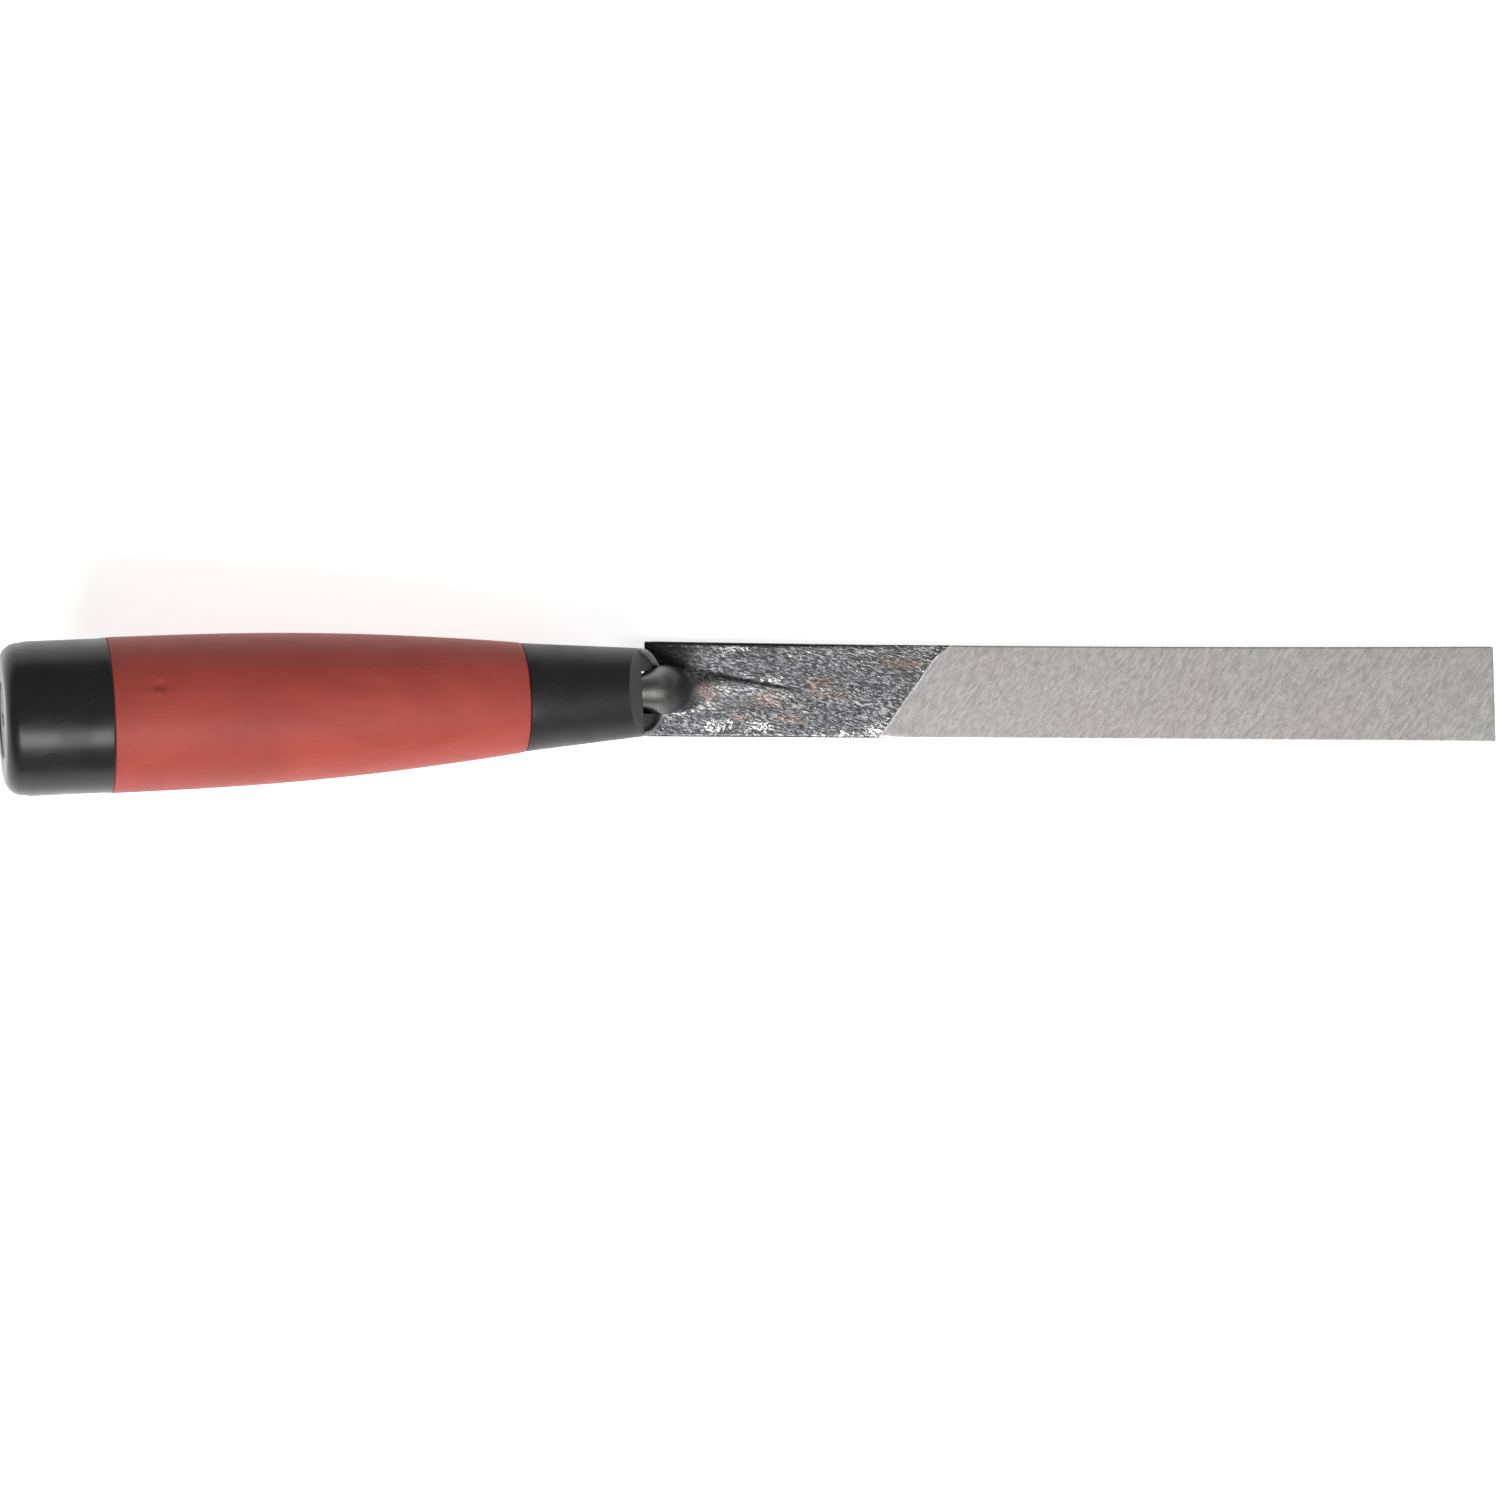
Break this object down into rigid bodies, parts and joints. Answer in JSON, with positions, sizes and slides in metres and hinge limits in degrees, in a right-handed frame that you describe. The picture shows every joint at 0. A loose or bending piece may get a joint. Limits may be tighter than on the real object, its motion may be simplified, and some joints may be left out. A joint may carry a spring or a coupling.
{
  "type": "brick jointer",
  "caption": "Flat steel jointing blade on a cranked neck, set in a moulded handle with a soft red grip and hard black nose and butt.",
  "frame": {"origin": "on the blade's flat sole, at the middle of the blade's length and width", "axes": "+X along the blade to its tip, +Z off the sole towards the handle, +Y across the blade"},
  "size_m": [0.2975, 0.0322, 0.0566],
  "materials": {
    "blade_forging": "forge scale at the heel, ground bright towards the tip",
    "nose_ferrule": "matte moulded",
    "handle_core": "as moulded",
    "grip_sleeve": "matte soft-touch",
    "butt_cap": "semi-gloss moulded",
    "butt_plug": "matte moulded"
  },
  "bodies": {
    "root": {"blade_forging": "blade_forging", "nose_ferrule": "nose_ferrule", "handle_core": "handle_core", "grip_sleeve": "grip_sleeve", "butt_cap": "butt_cap", "butt_plug": "butt_plug"}
  },
  "joints": []
}
